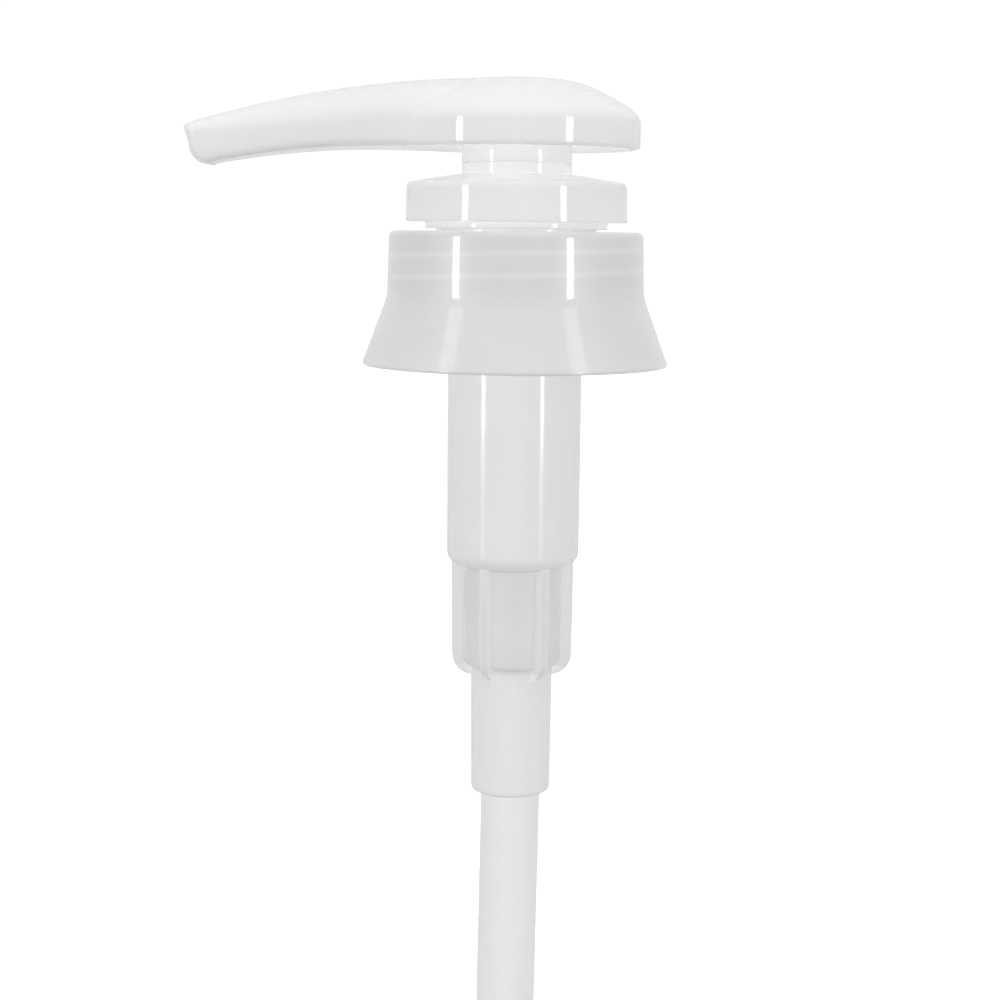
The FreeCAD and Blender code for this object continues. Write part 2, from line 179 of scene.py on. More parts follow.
# %% The finish class
class Finish(Boxes):
    """A moulded finish, built on a Principled shader."""

    def __init__(self, name, **constants):
        self.material = bpy.data.materials.new(name)
        self.material.use_nodes = True
        super().__init__(self.material.node_tree)
        self.tree.nodes.clear()
        self.add_shader(constants)
        self.place = self.add("ShaderNodeTexCoord").out("Object")

    def add_shader(self, constants):
        shader = self.add("ShaderNodeBsdfPrincipled", {}, constants)
        self.shader = shader.socket.node
        end = self.tree.nodes.new("ShaderNodeOutputMaterial")
        self.tree.links.new(shader.socket, end.inputs["Surface"])

    def feed(self, socket, wire):
        self.tree.links.new(wire.socket, self.shader.inputs[socket])

    def noise(self, size, detail=2.0, stretch=(1, 1, 1)):
        """Soft noise with features of about this size in metres, stretched along the axes."""
        spread = self.add("ShaderNodeMapping", {}, {0: self.place, "Scale": stretch})
        return self.add("ShaderNodeTexNoise", {}, {"Vector": spread, "Scale": 1 / size,
                                                   "Detail": detail, "Roughness": 0.5})

    def band(self, low, high, fade):
        """1 between two heights in metres, fading to 0 outside them."""
        height = self.add("ShaderNodeSeparateXYZ", {}, {0: self.place}).out("Z")
        inside = height.maths("MINIMUM", height - low, high - height) / fade
        return inside.maths("MAXIMUM", inside.maths("MINIMUM", inside, 1.0), 0.0)

    def between(self, factor, low, high):
        """A value that runs from low to high with the factor."""
        return low + factor * (high - low)

    def tint(self, factor, first, second):
        """A colour that runs from one to the other with the factor."""
        return self.add("ShaderNodeMix", {"data_type": "RGBA"},
                        {0: factor, 6: (*first, 1), 7: (*second, 1)}, output=2)

    def bump(self, height, depth, normal=None):
        """Bump of this real depth in metres, on top of an earlier one."""
        values = {"Height": height, "Distance": depth, "Strength": 1.0}
        if normal:
            values["Normal"] = normal
        return self.add("ShaderNodeBump", {}, values)


# %% [markdown]
# ### Gloss white
# The head and the collar come from polished steel moulds. They are almost mirror smooth, and what
# breaks the reflections is the slow waviness of cooled polypropylene. The gloss changes a little
# where hands have rubbed it.

# %% Gloss white finish
def gloss_white():
    finish = Finish("gloss_white", **{"IOR": 1.49, "Subsurface Weight": 0.7,
                                      "Subsurface Radius": (1, 1, 1), "Subsurface Scale": 0.003})
    cloud = finish.noise(0.014)
    rub = finish.noise(0.0035, 4.0)
    skin = finish.noise(0.0005, 1.0)
    finish.feed("Base Color", finish.tint(cloud, (0.93, 0.935, 0.935), (0.96, 0.96, 0.955)))
    finish.feed("Roughness", finish.between(rub * cloud, 0.03, 0.12))
    wavy = finish.bump(cloud, 0.00005)
    finish.feed("Normal", finish.bump(skin, 0.000002, wavy))
    return finish.material


# %% [markdown]
# ### Housing white
# The barrel and the valve chamber go inside the jug, so their mould is a little less polished. Long
# walls drawn from a deep mould carry faint drag lines along the draw, which is noise that is stretched
# along the pump's axis. The valve chamber's band is painted a little greyer in the base colour:
# painted shade for the recess under the barrel's overhang and between the fins.

# %% Housing white finish
# Heights in mm of the valve chamber's painted shade band.
CHAMBER_SHADE_LOW = -84.0
CHAMBER_SHADE_HIGH = -61.5


def housing_white():
    finish = Finish("housing_white", **{"IOR": 1.49, "Subsurface Weight": 0.6,
                                        "Subsurface Radius": (1, 1, 1), "Subsurface Scale": 0.002})
    cloud = finish.noise(0.02)
    drag = finish.noise(0.0012, 3.0, (1, 1, 0.04))
    skin = finish.noise(0.0004, 2.0)
    # Painted shade: the base colour is darker on the valve chamber's band, for the recess under the barrel.
    outside_chamber_shade = 1 - finish.band(CHAMBER_SHADE_LOW * MM, CHAMBER_SHADE_HIGH * MM, MM)
    tone_and_painted_light = cloud * 0.2 + outside_chamber_shade * 0.8
    finish.feed("Base Color", finish.tint(tone_and_painted_light, (0.81, 0.815, 0.815), (0.945, 0.945, 0.94)))
    finish.feed("Roughness", finish.between(drag, 0.05, 0.16))
    wavy = finish.bump(drag, 0.0000015, finish.bump(cloud, 0.00004))
    finish.feed("Normal", finish.bump(skin, 0.0000005, wavy))
    return finish.material


# %% [markdown]
# ### Milky cap
# The screw cap is unpigmented: light goes through its walls, so its own inner skirt and thread show
# faintly. Real milky plastic scatters the light inside the wall. A cheap way that also survives an
# export is a wall that is partly see-through (Alpha), a little less where the plastic is cloudy,
# under a clear glossy coat. The thread bends the light like a row of lenses; here those pale sloping
# lines are a painted highlight in the base colour: the height less the share of a turn is the same all
# along one line of a thread.

# %% Milky cap finish
THREAD_PITCH = 4.233
# Heights in mm, phase and sharpness of the thread's painted highlight lines.
PAINTED_HIGHLIGHT_LOW = -6.5
PAINTED_HIGHLIGHT_HIGH = 2.6
PAINTED_HIGHLIGHT_PHASE = 0.53
PAINTED_HIGHLIGHT_SHARPNESS = 6.0


def painted_thread_highlight(finish):
    """Painted highlight: 1 on the lines of a right-hand thread inside the cap, 0 between them and away from
    it.
    """
    way = finish.add("ShaderNodeSeparateXYZ", {}, {0: finish.place})
    height = way.out("Z") / MM
    turned = way.maths("ARCTAN2", way.out("Y"), way.out("X")) / (2 * math.pi)
    wave = height.maths("COSINE", (height / THREAD_PITCH - turned - PAINTED_HIGHLIGHT_PHASE) * (2 * math.pi))
    line = wave.maths("POWER", wave * 0.5 + 0.5, PAINTED_HIGHLIGHT_SHARPNESS)
    return line * finish.band(PAINTED_HIGHLIGHT_LOW * MM, PAINTED_HIGHLIGHT_HIGH * MM, MM)


def milky_cap():
    finish = Finish("milky_cap", **{"IOR": 1.49, "Coat Weight": 1.0, "Coat Roughness": 0.03,
                                    "Coat IOR": 1.5})
    cloud = finish.noise(0.013, 2.0)
    swirl = finish.noise(0.02, 3.0, (1, 1, 3.5))
    # Random tone plus the thread's painted highlight lines, in the base colour.
    tone_and_painted_light = cloud * 0.4 + painted_thread_highlight(finish) * 0.6
    finish.feed("Base Color", finish.tint(tone_and_painted_light, (0.77, 0.78, 0.785), (0.88, 0.885, 0.885)))
    finish.feed("Roughness", finish.between(swirl, 0.26, 0.38))
    finish.feed("Alpha", finish.between(cloud * 0.4 + swirl * 0.6, 0.80, 0.93))
    finish.feed("Normal", finish.bump(cloud, 0.00003))
    return finish.material


# %% [markdown]
# ### Milky tube, stem, seals and foam
# The dip tube is extruded, so its faint lines run along it, and it is satin. The stem is polished
# where it runs in its guide. Seals are soft and matt, and the gasket is foam with tiny cells, which
# a Voronoi pattern gives.

# %% The plain plastics
def milky_tube():
    finish = Finish("milky_tube", **{"IOR": 1.5, "Subsurface Weight": 0.6,
                                     "Subsurface Radius": (1, 1, 1), "Subsurface Scale": 0.002})
    line = finish.noise(0.0009, 2.0, (1, 1, 0.02))
    cloud = finish.noise(0.025)
    finish.feed("Base Color", finish.tint(cloud, (0.93, 0.935, 0.935), (0.955, 0.957, 0.957)))
    finish.feed("Roughness", finish.between(line, 0.38, 0.52))
    finish.feed("Alpha", finish.between(cloud, 0.93, 1.0))
    finish.feed("Normal", finish.bump(line, 0.000012))
    return finish.material


def stem_white():
    finish = Finish("stem_white", **{"IOR": 1.49})
    drag = finish.noise(0.0008, 3.0, (1, 1, 0.03))
    finish.feed("Base Color", finish.tint(drag, (0.84, 0.84, 0.835), (0.87, 0.87, 0.865)))
    finish.feed("Roughness", finish.between(drag, 0.12, 0.26))
    finish.feed("Normal", finish.bump(drag, 0.000006))
    return finish.material


def soft_seal():
    finish = Finish("soft_seal", **{"IOR": 1.5})
    grain = finish.noise(0.0006, 4.0)
    finish.feed("Base Color", finish.tint(grain, (0.80, 0.81, 0.785), (0.86, 0.87, 0.85)))
    finish.feed("Roughness", finish.between(grain, 0.42, 0.6))
    finish.feed("Normal", finish.bump(grain, 0.00001))
    return finish.material


def foam_gasket():
    finish = Finish("foam_gasket", **{"IOR": 1.45})
    cells = finish.add("ShaderNodeTexVoronoi", {}, {"Vector": finish.place, "Scale": 2600.0})
    finish.feed("Base Color", finish.tint(cells, (0.9, 0.9, 0.88), (0.78, 0.78, 0.76)))
    finish.feed("Roughness", finish.between(cells, 0.75, 0.92))
    finish.feed("Normal", finish.bump(cells, 0.00006))
    return finish.material


# %% [markdown]
# ### Steel
# The return spring is drawn wire, with fine lines round the coil, and the two valve balls are
# polished. Both are metals, so their colour is the colour of the reflection.

# %% Steel finishes
def spring_steel():
    finish = Finish("spring_steel", **{"Metallic": 1.0})
    drawn = finish.noise(0.0004, 3.0, (0.2, 0.2, 1))
    finish.feed("Base Color", finish.tint(drawn, (0.56, 0.56, 0.545), (0.68, 0.68, 0.665)))
    finish.feed("Roughness", finish.between(drawn, 0.22, 0.4))
    finish.feed("Normal", finish.bump(drawn, 0.000008))
    return finish.material


def ball_steel():
    finish = Finish("ball_steel", **{"Metallic": 1.0})
    scratch = finish.noise(0.0007, 5.0)
    finish.feed("Base Color", finish.tint(scratch, (0.7, 0.7, 0.695), (0.78, 0.78, 0.775)))
    finish.feed("Roughness", finish.between(scratch, 0.05, 0.14))
    finish.feed("Normal", finish.bump(scratch, 0.000001))
    return finish.material


FINISHES = {make.__name__: make() for make in (
    gloss_white, housing_white, milky_cap, milky_tube, stem_white, soft_seal, foam_gasket, spring_steel,
    ball_steel)}
print("finishes:", ", ".join(FINISHES))

# %% [markdown]
# ## Outlines with round corners
# Nearly every piece of a pump is turned about one axis, so its shape is a half section: a list of
# corners given as radius, height and the corner's rounding, in millimetres. `rounded` turns each
# such corner into an arc that touches both of its sides. `held` then adds a point near each end of
# every long straight run: smooth shading averages the directions of neighbouring faces, and without
# these points a long wall would borrow some of its edge's roundness and bend its reflections.

# %% Rounded outline
ARC_STEP = math.radians(10)
HOLD = 0.3
LONG_RUN = 8 * HOLD


def corner_arc(before, here, after, rounding):
    """Points of the arc that rounds one corner of an outline."""
    back = (before - here).normalized()
    on = (after - here).normalized()
    half = back.angle(on) / 2
    middle = here + (back + on).normalized() * (rounding / math.sin(half))
    first = here + back * (rounding / math.tan(half)) - middle
    last = here + on * (rounding / math.tan(half)) - middle
    sweep = math.atan2(first.cross(last), first.dot(last))
    steps = max(2, math.ceil(abs(sweep) / ARC_STEP))
    return [middle + Matrix.Rotation(sweep * i / steps, 2) @ first for i in range(steps + 1)]


def rounded(corners):
    """Outline through the corners, given as (radius, height) or (radius, height, rounding)."""
    points = []
    for i, corner in enumerate(corners):
        here = Vector(corner[:2])
        before = Vector(corners[i - 1][:2])
        after = Vector(corners[(i + 1) % len(corners)][:2])
        if len(corner) == 3:
            points += corner_arc(before, here, after, corner[2])
        else:
            points.append(here)
    return points


def held(outline, closed):
    """The outline with a point just inside each end of its long straight runs, which keeps a wall's
    shading straight right up to its rounded edges."""
    points = []
    for i, here in enumerate(outline):
        points.append(here)
        run = outline[(i + 1) % len(outline)] - here
        if run.length > LONG_RUN and (closed or i + 1 < len(outline)):
            points += [here + run.normalized() * HOLD, here + run - run.normalized() * HOLD]
    return points


# %% [markdown]
# ## Helpers that make and join meshes
# A Geometry Nodes tree needs a plain mesh to start from and leaves a plain mesh behind. `new_object`
# makes the first, and `settle` turns whatever the modifiers give into one closed mesh whose faces
# point outwards, then removes the modifiers. `join` adds and cuts solids with the exact Boolean
# solver, the way a toolmaker adds and cuts blocks.

# %% Mesh helpers
SHARP = math.radians(32)


def new_object(name, points, edges=(), faces=()):
    """Object at the origin with these points, given in millimetres."""
    mesh = bpy.data.meshes.new(name)
    mesh.from_pydata([Vector(p) * MM for p in points], list(edges), list(faces))
    thing = bpy.data.objects.new(name, mesh)
    bpy.context.scene.collection.objects.link(thing)
    return thing


def tidy_mesh(mesh, weld=0.002):
    """Weld doubles, turn the faces outwards and mark sharp edges."""
    work = bmesh.new()
    work.from_mesh(mesh)
    bmesh.ops.remove_doubles(work, verts=work.verts, dist=weld * MM)
    bmesh.ops.dissolve_degenerate(work, edges=work.edges, dist=weld * MM / 4)
    bmesh.ops.recalc_face_normals(work, faces=work.faces)
    if work.calc_volume(signed=True) < 0:
        bmesh.ops.reverse_faces(work, faces=work.faces)
    for face in work.faces:
        face.smooth = True
    for edge in work.edges:
        edge.smooth = len(edge.link_faces) == 2 and edge.calc_face_angle() < SHARP
    loose = sum(1 for edge in work.edges if len(edge.link_faces) != 2)
    work.to_mesh(mesh)
    volume = work.calc_volume(signed=True) / MM ** 3
    work.free()
    return loose, volume


def settle(thing):
    """Replace an object's mesh by what its modifiers give, as one tidy closed mesh."""
    graph = bpy.context.evaluated_depsgraph_get()
    result = bpy.data.meshes.new_from_object(thing.evaluated_get(graph))
    thing.modifiers.clear()
    thing.data = result
    result.name = thing.name
    loose, volume = tidy_mesh(result)
    print(f"{thing.name}: {len(result.polygons)} faces, {volume:.0f} mm3, {loose} open edges")
    return thing


def join(base, tools, operation="UNION"):
    """Add or cut solids, one after another. The tools are used up."""
    for tool in tools:
        step = base.modifiers.new(operation.lower(), "BOOLEAN")
        step.operation = operation
        step.solver = "EXACT"
        step.object = tool
    settle(base)
    for tool in tools:
        bpy.data.objects.remove(tool)
    return base


# %% [markdown]
# ## The lathe
# Turning is a rule: every point of the section goes once round the axis. In Geometry Nodes that is
# a curve swept along a circle. The section is moved in by the circle's radius, so that the sweep
# puts it back at its own radius, and points that lie on the axis fall together and are welded.

# %% Lathe tree
PATH_R = 50.0


def start_tree(name, inputs):
    """A geometry tree with named inputs. Gives its boxes, the input sockets and their identifiers."""
    tree = bpy.data.node_groups.new(name, "GeometryNodeTree")
    tree.interface.new_socket("Geometry", in_out="OUTPUT", socket_type="NodeSocketGeometry")
    tree.interface.new_socket("Geometry", in_out="INPUT", socket_type="NodeSocketGeometry")
    ids = {}
    for label, kind in inputs.items():
        ids[label] = tree.interface.new_socket(label, in_out="INPUT", socket_type=kind).identifier
    boxes = Boxes(tree)
    return boxes, boxes.add("NodeGroupInput"), ids


def end_tree(boxes, shape, finish):
    """Close a tree: real geometry with its material."""
    real = boxes.add("GeometryNodeRealizeInstances", {}, {0: shape})
    dressed = boxes.add("GeometryNodeSetMaterial", {}, {0: real, "Material": finish})
    end = boxes.tree.nodes.new("NodeGroupOutput")
    boxes.tree.links.new(dressed.socket, end.inputs[0])


def grow(thing, tree, ids, values):
    """Run a tree on an object with these inputs, and keep the mesh it gives."""
    step = thing.modifiers.new(tree.name, "NODES")
    step.node_group = tree
    for label, value in values.items():
        step[ids[label]] = value
    return settle(thing)


def lathe_tree():
    boxes, given, ids = start_tree("Lathe", {
        "Steps round": "NodeSocketInt", "Path radius": "NodeSocketFloat", "Finish": "NodeSocketMaterial"})
    section = boxes.add("GeometryNodeMeshToCurve", {}, {0: given})
    way = boxes.add("GeometryNodeCurvePrimitiveCircle", {},
                    {"Resolution": given.out("Steps round"), "Radius": given.out("Path radius")})
    skin = boxes.add("GeometryNodeCurveToMesh", {}, {"Curve": way, "Profile Curve": section})
    welded = boxes.add("GeometryNodeMergeByDistance", {}, {0: skin, "Distance": 0.002 * MM})
    end_tree(boxes, welded, given.out("Finish"))
    return boxes.tree, ids


LATHE, LATHE_IDS = lathe_tree()


def turn(name, corners, finish, steps=128):
    """Turn a half section about the pump's axis. A section that starts and ends on the axis is open."""
    on_axis = corners[0][0] == 0 and corners[-1][0] == 0
    outline = held(rounded(corners), not on_axis)
    count = len(outline)
    edges = [(i, (i + 1) % count) for i in range(count - 1 if on_axis else count)]
    section = new_object(name, [(p.x - PATH_R, -p.y, 0) for p in outline], edges)
    return grow(section, LATHE, LATHE_IDS, {"Steps round": steps, "Path radius": PATH_R * MM,
                                            "Finish": FINISHES[finish]})


# %% [markdown]
# ## Round the axis
# Lugs, ribs and posts are one shape repeated round the axis. A second tree puts copies of a shape on
# a few points at the origin, each turned by one step more, and makes them real. Its inputs are the
# number of copies and the angle of the first.

# %% Round-the-axis tree
def round_tree():
    boxes, given, ids = start_tree("Round the axis", {
        "Copies": "NodeSocketInt", "First angle": "NodeSocketFloat", "Finish": "NodeSocketMaterial"})
    spots = boxes.add("GeometryNodePoints", {}, {"Count": given.out("Copies")})
    number = boxes.add("GeometryNodeInputIndex")
    angle = number * (2 * math.pi) / given.out("Copies") + given.out("First angle")
    aim = boxes.add("FunctionNodeAxisAngleToRotation", {}, {"Axis": (0, 0, 1), "Angle": angle})
    copies = boxes.add("GeometryNodeInstanceOnPoints", {},
                       {"Points": spots, "Instance": given, "Rotation": aim})
    end_tree(boxes, copies, given.out("Finish"))
    return boxes.tree, ids


ROUND, ROUND_IDS = round_tree()


def round_axis(thing, copies, first_degrees, finish):
    """Repeat a shape round the pump's axis."""
    return grow(thing, ROUND, ROUND_IDS, {"Copies": copies, "First angle": math.radians(first_degrees),
                                          "Finish": FINISHES[finish]})


def slice_of_ring(name, corners, span_degrees):
    """A length of ring with this half section, centred on +X: a lock lug."""
    outline = rounded(corners)
    steps = 12
    count = len(outline)
    points = []
    for i in range(steps + 1):
        angle = math.radians(span_degrees) * (i / steps - 0.5)
        points += [(p.x * math.cos(angle), p.x * math.sin(angle), p.y) for p in outline]
    faces = [tuple(range(count)), tuple(steps * count + i for i in range(count))]
    for i in range(steps):
        low = i * count
        for j in range(count):
            k = (j + 1) % count
            faces.append((low + j, low + k, low + count + k, low + count + j))
    return new_object(name, points, (), faces)


# %% [markdown]
# ## The lock collar
# The white collar snaps onto the housing's neck and traps the cap. On the bench it is a cup with a
# hub in its middle. Inside the hub two short lugs hold the head down until the spout is turned. The
# wall is one turned section, and the two lugs are one slice of ring, repeated.

# %% Lock collar
STEM_GUIDE_R = 6.06
HUB_BORE_R = 9.4
HUB_R = 11.0
HUB_TOP = 18.5
LUG_INNER_R = 8.5


def make_lock_collar():
    collar = turn("lock_collar_moulding", [
        (22.1, 7.0, 0.25), (22.0, 14.75, 1.3), (12.6, 16.3, 3.0), (HUB_R, 16.3, 0.5), (HUB_R, HUB_TOP, 0.1),
        (HUB_BORE_R, HUB_TOP, 0.3), (HUB_BORE_R, 2.8, 0.3), (STEM_GUIDE_R, 2.8, 0.15),
        (STEM_GUIDE_R, 1.4, 0.15), (8.9, 1.4), (8.9, -1.2, 0.2), (10.7, -1.2, 0.3), (10.7, 13.0, 0.3),
        (16.05, 13.0), (16.05, 11.6), (16.4, 11.3), (16.4, 10.3), (16.05, 10.0), (16.05, 5.65, 0.3),
        (18.25, 5.65, 0.35), (18.25, 7.0, 0.2), (17.8, 7.0), (17.8, 12.9, 0.4), (20.4, 12.7, 0.4),
        (20.5, 7.0, 0.25),
    ], "gloss_white")
    lead = (HUB_BORE_R - LUG_INNER_R) / 2
    lug = slice_of_ring("collar_lugs", [
        (HUB_BORE_R + 0.4, 9.2), (HUB_BORE_R, 9.2), (LUG_INNER_R, 9.2 + lead, 0.15),
        (LUG_INNER_R, 11.8 - lead, 0.15), (HUB_BORE_R, 11.8), (HUB_BORE_R + 0.4, 11.8)], 56)
    return join(collar, [round_axis(lug, 2, 90, "gloss_white")])


lock_collar = make_lock_collar()

# %% [markdown]
# ## The screw cap
# The cap is a plate with two skirts: an inner one with the jug's thread, and an outer one that
# flares over the jug's shoulder. The flare is a large round between two straight walls, so it stays
# a plain corner with a big rounding. The thread is a small trapezium swept up a spiral, and its
# ends are scaled down so that they run out as a cut thread does.

# %% Cap thread tree
THREAD_TURNS = 1.42
THREAD_ROOT_R = 19.05
THREAD_CREST_R = 17.85


def spiral_tree():
    boxes, given, ids = start_tree("Spiral", {
        "Radius": "NodeSocketFloat", "Turns": "NodeSocketFloat", "Height": "NodeSocketFloat",
        "Steps": "NodeSocketInt", "Run-out": "NodeSocketFloat", "Finish": "NodeSocketMaterial"})
    way = boxes.add("GeometryNodeCurveSpiral", {}, {
        "Resolution": given.out("Steps"), "Rotations": given.out("Turns"), "Height": given.out("Height"),
        "Start Radius": given.out("Radius"), "End Radius": given.out("Radius")})
    along = boxes.add("GeometryNodeSplineParameter")
    to_end = along.maths("MINIMUM", along, 1 - along) / given.out("Run-out")
    size = along.maths("MINIMUM", to_end + 0.25, 1.0)
    section = boxes.add("GeometryNodeMeshToCurve", {}, {0: given})
    skin = boxes.add("GeometryNodeCurveToMesh", {}, {"Curve": way, "Profile Curve": section, "Scale": size,
                                                     "Fill Caps": True})
    end_tree(boxes, skin, given.out("Finish"))
    return boxes.tree, ids


SPIRAL, SPIRAL_IDS = spiral_tree()


def spiral(name, section, radius, turns, height, per_turn, run_out, finish):
    """Sweep a closed section, given as (out, up) from the path, up a spiral that starts at +X."""
    count = len(section)
    start = new_object(name, [(-out, -up, 0) for out, up in section],
                       [(i, (i + 1) % count) for i in range(count)])
    return grow(start, SPIRAL, SPIRAL_IDS, {
        "Radius": radius * MM, "Turns": turns, "Height": height * MM, "Steps": per_turn,
        "Run-out": run_out, "Finish": FINISHES[finish]})


# %% Screw cap
def place_mesh(thing, up=0.0, turn_degrees=0.0):
    """Move and turn a mesh about the axis, in its points, so that its object stays at the origin."""
    turned = Matrix.Rotation(math.radians(turn_degrees), 4, "Z")
    thing.data.transform(Matrix.Translation(UP * up * MM) @ turned)
    return thing


def make_closure():
    cap = turn("closure_moulding", [
        (16.3, 3.5, 0.2), (16.3, 5.2, 0.3), (25.4, 5.2, 1.2), (25.78, -7.7, 9.0), (30.9, -21.5, 0.5),
        (29.33, -21.5, 0.4), (24.28, -7.9, 7.5), (23.85, 3.5, 0.8), (20.4, 3.5, 0.5), (20.4, -10.5, 0.4),
        (THREAD_ROOT_R, -10.5, 0.4), (THREAD_ROOT_R, 0.6, 0.3), (18.2, 1.2), (18.2, 3.5, 0.2),
    ], "milky_cap", 160)
    root = 0.15
    depth = THREAD_CREST_R - THREAD_ROOT_R
    height = THREAD_PITCH * THREAD_TURNS
    thread = spiral("cap_thread", [(root, -1.1), (root, 1.1), (depth, 0.45), (depth, -0.45)],
                    THREAD_ROOT_R, THREAD_TURNS, height, 72, 0.04, "milky_cap")
    place_mesh(thread, 0.95 - height, -90 - 360 * (THREAD_TURNS % 1))
    return join(cap, [thread])


closure = make_closure()
low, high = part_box("closure")
print("cap in the measured model, mm:", [round(v / MM, 2) for v in (*low, *high)])

# %% [markdown]
# ## The housing
# The housing is the longest moulding: a flange that rests on the jug's rim, the pump's barrel, a
# narrower valve chamber with six fins, and the socket for the dip tube. Everything but the fins is
# turned. One fin is drawn flat, given its thickness, and its edges are rounded by a Bevel modifier.
# The round-the-axis tree then makes six of it, and a Boolean welds them on and drills the vent.

# %% Housing
RIB_COUNT = 6
RIB_THICK = 1.7
RIB_FIRST = 2.0


def plate(name, outline, thickness, bevel=0.0):
    """A flat outline in the (radius, height) plane, given its thickness along Y."""
    count = len(outline)
    half = thickness / 2
    points = [(p.x, -half, p.y) for p in outline] + [(p.x, half, p.y) for p in outline]
    faces = [tuple(range(count)), tuple(range(2 * count - 1, count - 1, -1))]
    faces += [(i, (i + 1) % count, (i + 1) % count + count, i + count) for i in range(count)]
    thing = new_object(name, points, (), faces)
    if bevel:
        round_edges = thing.modifiers.new("round edges", "BEVEL")
        round_edges.width = bevel * MM
        round_edges.segments = 3
        round_edges.limit_method = "ANGLE"
        settle(thing)
    return thing


def drill(name, radius, start, way, depth):
    """A straight round tool for cutting a hole."""
    work = bmesh.new()
    bmesh.ops.create_cone(work, cap_ends=True, segments=32, radius1=radius * MM, radius2=radius * MM,
                          depth=depth * MM)
    aim = Vector(way).to_track_quat("Z", "Y").to_matrix().to_4x4()
    middle = (Vector(start) + Vector(way).normalized() * depth / 2) * MM
    work.transform(Matrix.Translation(middle) @ aim)
    thing = new_object(name, [])
    work.to_mesh(thing.data)
    work.free()
    return thing


def make_housing():
    body = turn("housing_moulding", [
        (12.2, 3.3), (12.2, -57.9), (8.6, -60.6), (8.6, -77.0), (7.2, -77.0, 0.2), (7.2, -79.6, 0.6),
        (2.9, -84.5, 0.2), (2.9, -86.0), (6.12, -86.0), (6.12, -108.6), (6.7, -109.5, 0.15),
        (8.15, -109.5, 1.0), (8.4, -82.7, 0.3), (10.0, -82.7, 1.2), (10.0, -62.1, 0.4),
        (13.5, -62.1, 2.8), (13.5, 1.6, 0.4), (17.6, 1.6, 0.2), (17.6, 3.3, 0.3), (16.0, 3.3, 0.4),
        (16.0, 10.2), (16.3, 10.5), (16.3, 11.0), (16.0, 11.35), (15.8, 12.5, 0.3), (14.4, 12.5, 0.3),
        (14.4, 3.3, 0.5),
    ], "housing_white", 160)
    side = rounded([(9.2, -61.0), (12.2, -61.0), (11.95, -84.9, 4.2), (7.5, -84.9), (7.5, -81.7),
                    (9.2, -81.7)])
    fins = round_axis(plate("fins", side, RIB_THICK, 0.45), RIB_COUNT, RIB_FIRST, "housing_white")
    join(body, [fins])
    vent = drill("vent_drill", 0.8, (0, 11.0, -4.0), (0, 1, 0), 5)
    return join(body, [vent], "DIFFERENCE")


housing = make_housing()

# %% [markdown]
# ## The pump head, one: the dome
# The head is one moulding: a shallow dome with the long spout grown out of its side. The dome's top
# is a smooth curve through a few heights. Straight runs between them would show as rings in the
# gloss, so a cubic spline is fitted: each stretch meets the next with the same slope and bend.

# %% Dome
RIM_Z = 21.4
DOME_R = 24.5
CROWN = [(0, 35.25), (6.3, 35.1), (11.8, 34.45), (16.5, 32.7), (21.1, 30.3), (23.8, 28.1), (DOME_R, 26.5)]


def spline(points, first_way, last_way, per_run=6):
    """Smooth curve through the points, leaving and arriving in the given directions."""
    knots = np.array(points, float)
    runs = np.linalg.norm(np.diff(knots, axis=0), axis=1)
    count = len(knots)
    rows = np.eye(count)
    slopes = np.zeros((count, 2))
    slopes[0] = first_way
    slopes[-1] = last_way
    for i in range(1, count - 1):
        before, after = runs[i - 1], runs[i]
        rows[i, i - 1:i + 2] = after, 2 * (before + after), before
        steps = np.diff(knots[i - 1:i + 2], axis=0)
        slopes[i] = 3 * (steps[0] * after / before + steps[1] * before / after)
    slopes = np.linalg.solve(rows, slopes)
    curve = [Vector(knots[0])]
    for i, run in enumerate(runs):
        for t in np.linspace(0, 1, per_run + 1)[1:]:
            start = (1 + 2 * t) * (1 - t) ** 2 * knots[i] + t * (1 - t) ** 2 * run * slopes[i]
            end = t * t * (3 - 2 * t) * knots[i + 1] - t * t * (1 - t) * run * slopes[i + 1]
            curve.append(Vector(start + end))
    return curve


def dome(name, inset, foot, foot_round=0.0):
    """Solid dome down to the height foot, drawn in by inset all over."""
    scale = 1 - inset / DOME_R
    crown = spline([(r * scale, z - inset) for r, z in CROWN], (1, 0), (0, -1))
    corners = [tuple(p) for p in crown]
    corners.append((DOME_R * scale, foot, foot_round) if foot_round else (DOME_R * scale, foot))
    corners.append((0, foot))
    corners[0] = (0, corners[0][1])
    return turn(name, corners, "gloss_white", 192)


# %% [markdown]
# ## The pump head, two: the spout
# The spout is a loft: one cross-section after another along its length. Its back and its underside
# are two long arcs, its flanks close in evenly, and its crown is half an ellipse. Near the tip each
# section leans and bows a little more until it is the end face, and a few smaller rings round the
# edge. All rings have the same number of points, so the loft is clean quads with no pinched ends.

# %% Spout
TIP_X = -66.3
TIP_SLOPE = math.tan(math.radians(14))
TIP_BLEND = 15.0
TIP_BOW_R = 13.0
TIP_FOOT_R = 3.0
TIP_EDGE = 0.7
CROWN_ARC_R = 206.6
CROWN_ARC_X = -4.3
FLOOR_ARC_R = 172.0
FLOOR_ARC_X = -27.0
UNDER_ROUND = 1.5
ROOT_X = -2.0


def crown_z(x):
    """Height of the spout's back."""
    return CROWN[0][1] - 0.06 - CROWN_ARC_R + math.sqrt(CROWN_ARC_R ** 2 - (x - CROWN_ARC_X) ** 2)


def floor_z(x):
    """Height of the spout's underside, which levels out just behind the tip."""
    past = min(0.0, max(x, TIP_X + 3.8) - FLOOR_ARC_X)
    return RIM_Z - FLOOR_ARC_R + math.sqrt(FLOOR_ARC_R ** 2 - past ** 2)


def half_width(x):
    """Half the spout's width."""
    return 14.8 + 0.197 * (x + 19.2)


def flank_top_z(x):
    """Height where the upright flank ends and the crown starts."""
    return 26.9 + 0.065 * (x + 19.2)


